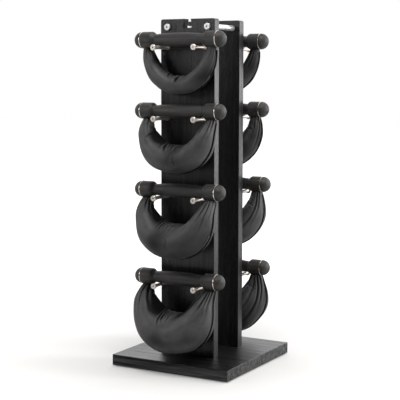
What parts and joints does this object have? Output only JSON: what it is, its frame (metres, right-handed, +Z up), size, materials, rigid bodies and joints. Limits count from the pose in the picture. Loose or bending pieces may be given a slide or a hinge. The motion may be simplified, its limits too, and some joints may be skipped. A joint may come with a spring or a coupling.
{
  "type": "dumbbell rack",
  "caption": "Floor-standing tower of stained wood with steel pegs, holding wooden-handled weights with slung leather shot pouches on its front and back.",
  "frame": {"origin": "centre of the footprint, on the floor", "axes": "+Z up along the tower, +X to the right along the handles, front board facing -Y"},
  "size_m": [0.38, 0.478, 1.003],
  "materials": {
    "stained_ash": "black-stained ash, open grain, satin",
    "handle_wood": "dark-stained turned wood, satin",
    "leather": "soft black leather, semi-matt",
    "peg_steel": "polished steel",
    "rack_steel": "satin stainless steel",
    "ring_metal": "polished steel, warm",
    "inner_steel": "plain steel",
    "iron_shot": "raw iron",
    "dowel_beech": "plain beech",
    "felt": "black felt"
  },
  "bodies": {
    "root": {"base_plate": "stained_ash", "front_board": "stained_ash", "back_board": "stained_ash", "spacer_rods": "rack_steel", "spacer_bolts": "rack_steel", "front_pegs": "peg_steel", "back_pegs": "peg_steel", "peg_studs": "inner_steel", "base_screws": "inner_steel", "base_dowels": "dowel_beech", "felt_glides": "felt"},
    "rod_front_1": {"front_1_tie_rod": "inner_steel"},
    "weight_front_1": {"front_1_handle": "handle_wood", "front_1_end_caps": "handle_wood", "front_1_end_rings": "ring_metal", "front_1_pouch": "leather", "front_1_shot": "iron_shot"},
    "rod_front_2": {"front_2_tie_rod": "inner_steel"},
    "weight_front_2": {"front_2_handle": "handle_wood", "front_2_end_caps": "handle_wood", "front_2_end_rings": "ring_metal", "front_2_pouch": "leather", "front_2_shot": "iron_shot"},
    "rod_front_3": {"front_3_tie_rod": "inner_steel"},
    "weight_front_3": {"front_3_handle": "handle_wood", "front_3_end_caps": "handle_wood", "front_3_end_rings": "ring_metal", "front_3_pouch": "leather", "front_3_shot": "iron_shot"},
    "rod_front_4": {"front_4_tie_rod": "inner_steel"},
    "weight_front_4": {"front_4_handle": "handle_wood", "front_4_end_caps": "handle_wood", "front_4_end_rings": "ring_metal", "front_4_pouch": "leather", "front_4_shot": "iron_shot"},
    "rod_back_1": {"back_1_tie_rod": "inner_steel"},
    "weight_back_1": {"back_1_handle": "handle_wood", "back_1_end_caps": "handle_wood", "back_1_end_rings": "ring_metal", "back_1_pouch": "leather", "back_1_shot": "iron_shot"},
    "rod_back_2": {"back_2_tie_rod": "inner_steel"},
    "weight_back_2": {"back_2_handle": "handle_wood", "back_2_end_caps": "handle_wood", "back_2_end_rings": "ring_metal", "back_2_pouch": "leather", "back_2_shot": "iron_shot"},
    "rod_back_3": {"back_3_tie_rod": "inner_steel"},
    "weight_back_3": {"back_3_handle": "handle_wood", "back_3_end_caps": "handle_wood", "back_3_end_rings": "ring_metal", "back_3_pouch": "leather", "back_3_shot": "iron_shot"},
    "rod_back_4": {"back_4_tie_rod": "inner_steel"},
    "weight_back_4": {"back_4_handle": "handle_wood", "back_4_end_caps": "handle_wood", "back_4_end_rings": "ring_metal", "back_4_pouch": "leather", "back_4_shot": "iron_shot"}
  },
  "joints": [
    {"name": "front_1_lift", "type": "slide", "parent": "root", "child": "rod_front_1", "axis": [0, -0.9397, 0.342], "range_m": [0, 0.085]},
    {"name": "front_1_swing", "type": "hinge", "parent": "rod_front_1", "child": "weight_front_1", "pos_m": [0, -0.13, 0.94347], "axis": [-1, 0, 0], "range_deg": [-2, 45]},
    {"name": "front_2_lift", "type": "slide", "parent": "root", "child": "rod_front_2", "axis": [0, -0.9397, 0.342], "range_m": [0, 0.085]},
    {"name": "front_2_swing", "type": "hinge", "parent": "rod_front_2", "child": "weight_front_2", "pos_m": [0, -0.13, 0.74347], "axis": [-1, 0, 0], "range_deg": [0, 45]},
    {"name": "front_3_lift", "type": "slide", "parent": "root", "child": "rod_front_3", "axis": [0, -0.9397, 0.342], "range_m": [0, 0.085]},
    {"name": "front_3_swing", "type": "hinge", "parent": "rod_front_3", "child": "weight_front_3", "pos_m": [0, -0.132, 0.51848], "axis": [-1, 0, 0], "range_deg": [0, 45]},
    {"name": "front_4_lift", "type": "slide", "parent": "root", "child": "rod_front_4", "axis": [0, -0.9397, 0.342], "range_m": [0, 0.085]},
    {"name": "front_4_swing", "type": "hinge", "parent": "rod_front_4", "child": "weight_front_4", "pos_m": [0, -0.133, 0.26548], "axis": [-1, 0, 0], "range_deg": [0, 45]},
    {"name": "back_1_lift", "type": "slide", "parent": "root", "child": "rod_back_1", "axis": [0, 0.9397, 0.342], "range_m": [0, 0.085]},
    {"name": "back_1_swing", "type": "hinge", "parent": "rod_back_1", "child": "weight_back_1", "pos_m": [0, 0.132, 0.94348], "axis": [1, 0, 0], "range_deg": [-2, 45]},
    {"name": "back_2_lift", "type": "slide", "parent": "root", "child": "rod_back_2", "axis": [0, 0.9397, 0.342], "range_m": [0, 0.085]},
    {"name": "back_2_swing", "type": "hinge", "parent": "rod_back_2", "child": "weight_back_2", "pos_m": [0, 0.138, 0.74355], "axis": [1, 0, 0], "range_deg": [0, 45]},
    {"name": "back_3_lift", "type": "slide", "parent": "root", "child": "rod_back_3", "axis": [0, 0.9397, 0.342], "range_m": [0, 0.085]},
    {"name": "back_3_swing", "type": "hinge", "parent": "rod_back_3", "child": "weight_back_3", "pos_m": [0, 0.153, 0.51907], "axis": [1, 0, 0], "range_deg": [0, 45]},
    {"name": "back_4_lift", "type": "slide", "parent": "root", "child": "rod_back_4", "axis": [0, 0.9397, 0.342], "range_m": [0, 0.085]},
    {"name": "back_4_swing", "type": "hinge", "parent": "rod_back_4", "child": "weight_back_4", "pos_m": [0, 0.153, 0.26607], "axis": [1, 0, 0], "range_deg": [0, 45]}
  ]
}
